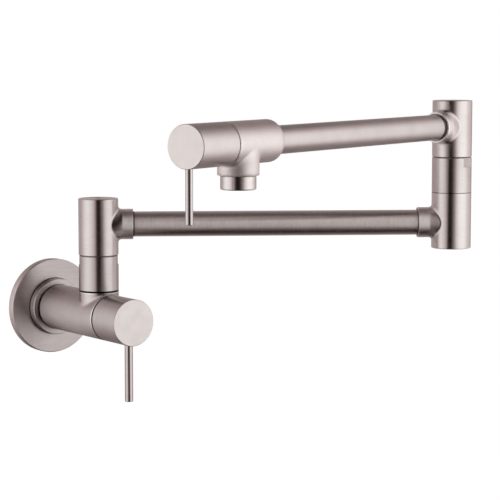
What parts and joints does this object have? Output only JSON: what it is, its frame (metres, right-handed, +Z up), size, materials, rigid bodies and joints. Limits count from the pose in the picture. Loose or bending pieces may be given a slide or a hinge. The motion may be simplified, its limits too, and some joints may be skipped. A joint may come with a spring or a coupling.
{
  "type": "wall mounted pot filler",
  "caption": "Double-jointed wall mounted tap: round flange, quarter-turn valve with rod lever, swivelling inner and outer arms, outlet valve with rod lever over a short aerated spout.",
  "frame": {"origin": "centre of the wall flange's back face, on the inlet's axis, in the plane of the wall", "axes": "+Y into the wall along the inlet's axis, the room lies towards -Y, +Z up, +X to the right for someone facing the wall"},
  "size_m": [0.3524, 0.376, 0.2285],
  "materials": {
    "brushed_turned": "fine brushed round the turned bodies, warm satin",
    "brushed_flat": "fine brushed, warm satin",
    "brushed_tube": "fine brushed tube, warm satin",
    "brushed_knob": "fine brushed, warm satin",
    "lever_steel": "smoother brushed rod",
    "aerator_steel": "bright, faintly turned",
    "brass": "machined",
    "black_rubber": "matt",
    "black_plastic": "low-friction plastic",
    "fibre_washer": "red fibre",
    "grey_plastic": "moulded",
    "disc_ceramic": "lapped",
    "spring_steel": "plain spring steel"
  },
  "bodies": {
    "wall_side": {"wall_flange": "brushed_flat", "wall_gasket": "black_rubber", "flange_o_ring": "black_rubber", "inlet_nipple": "brass", "valve_body": "brushed_turned", "wall_cartridge_housing": "brass", "wall_seat_seal": "black_rubber", "wall_fixed_disc": "disc_ceramic", "wall_cartridge_washer": "fibre_washer", "lower_swivel_sleeve": "brushed_turned", "lower_thrust_washer": "black_plastic"},
    "wall_handle": {"wall_knob": "brushed_knob", "wall_lever": "lever_steel", "wall_spline_insert": "grey_plastic", "wall_spindle": "brass", "wall_turning_disc": "disc_ceramic", "wall_spindle_o_rings": "black_rubber", "wall_stop_washer": "brass", "wall_spindle_clip": "spring_steel"},
    "inner_arm": {"inner_tee": "brushed_turned", "inner_arm_tube": "brushed_tube", "outer_tee": "brushed_turned", "inner_tube_seals": "black_rubber", "lower_swivel_spigot": "brass", "lower_swivel_o_rings": "black_rubber", "lower_slip_washer": "black_plastic", "lower_snap_ring": "spring_steel", "upper_swivel_sleeve": "brushed_turned", "upper_thrust_washer": "black_plastic"},
    "outer_arm": {"outlet_arm_tee": "brushed_turned", "outer_arm_tube": "brushed_tube", "outer_tube_seals": "black_rubber", "outlet_body": "brushed_turned", "upper_swivel_spigot": "brass", "upper_swivel_o_rings": "black_rubber", "upper_slip_washer": "black_plastic", "upper_snap_ring": "spring_steel", "outlet_cartridge_housing": "brass", "outlet_seat_seal": "black_rubber", "outlet_fixed_disc": "disc_ceramic", "outlet_cartridge_washer": "fibre_washer", "aerator_housing": "aerator_steel", "aerator_insert": "grey_plastic", "aerator_screen": "spring_steel", "aerator_seal": "black_rubber"},
    "outlet_handle": {"outlet_knob": "brushed_knob", "outlet_lever": "lever_steel", "outlet_spline_insert": "grey_plastic", "outlet_spindle": "brass", "outlet_turning_disc": "disc_ceramic", "outlet_spindle_o_rings": "black_rubber", "outlet_stop_washer": "brass", "outlet_spindle_clip": "spring_steel"}
  },
  "joints": [
    {"name": "wall_handle_turn", "type": "hinge", "parent": "wall_side", "child": "wall_handle", "pos_m": [0, -0.076, 0], "axis": [0, -1, 0], "range_deg": [0, 90]},
    {"name": "lower_swivel", "type": "hinge", "parent": "wall_side", "child": "inner_arm", "pos_m": [0, -0.076, 0], "axis": [0, 0, 1], "range_deg": [-160, 44]},
    {"name": "upper_swivel", "type": "hinge", "parent": "inner_arm", "child": "outer_arm", "pos_m": [0.23423, -0.22293, 0.0716], "axis": [0, 0, 1], "continuous": true},
    {"name": "outlet_handle_turn", "type": "hinge", "parent": "outer_arm", "child": "outlet_handle", "pos_m": [-0.04286, -0.32269, 0.1468], "axis": [-0.9409, -0.3387, 0], "range_deg": [0, 90]}
  ]
}
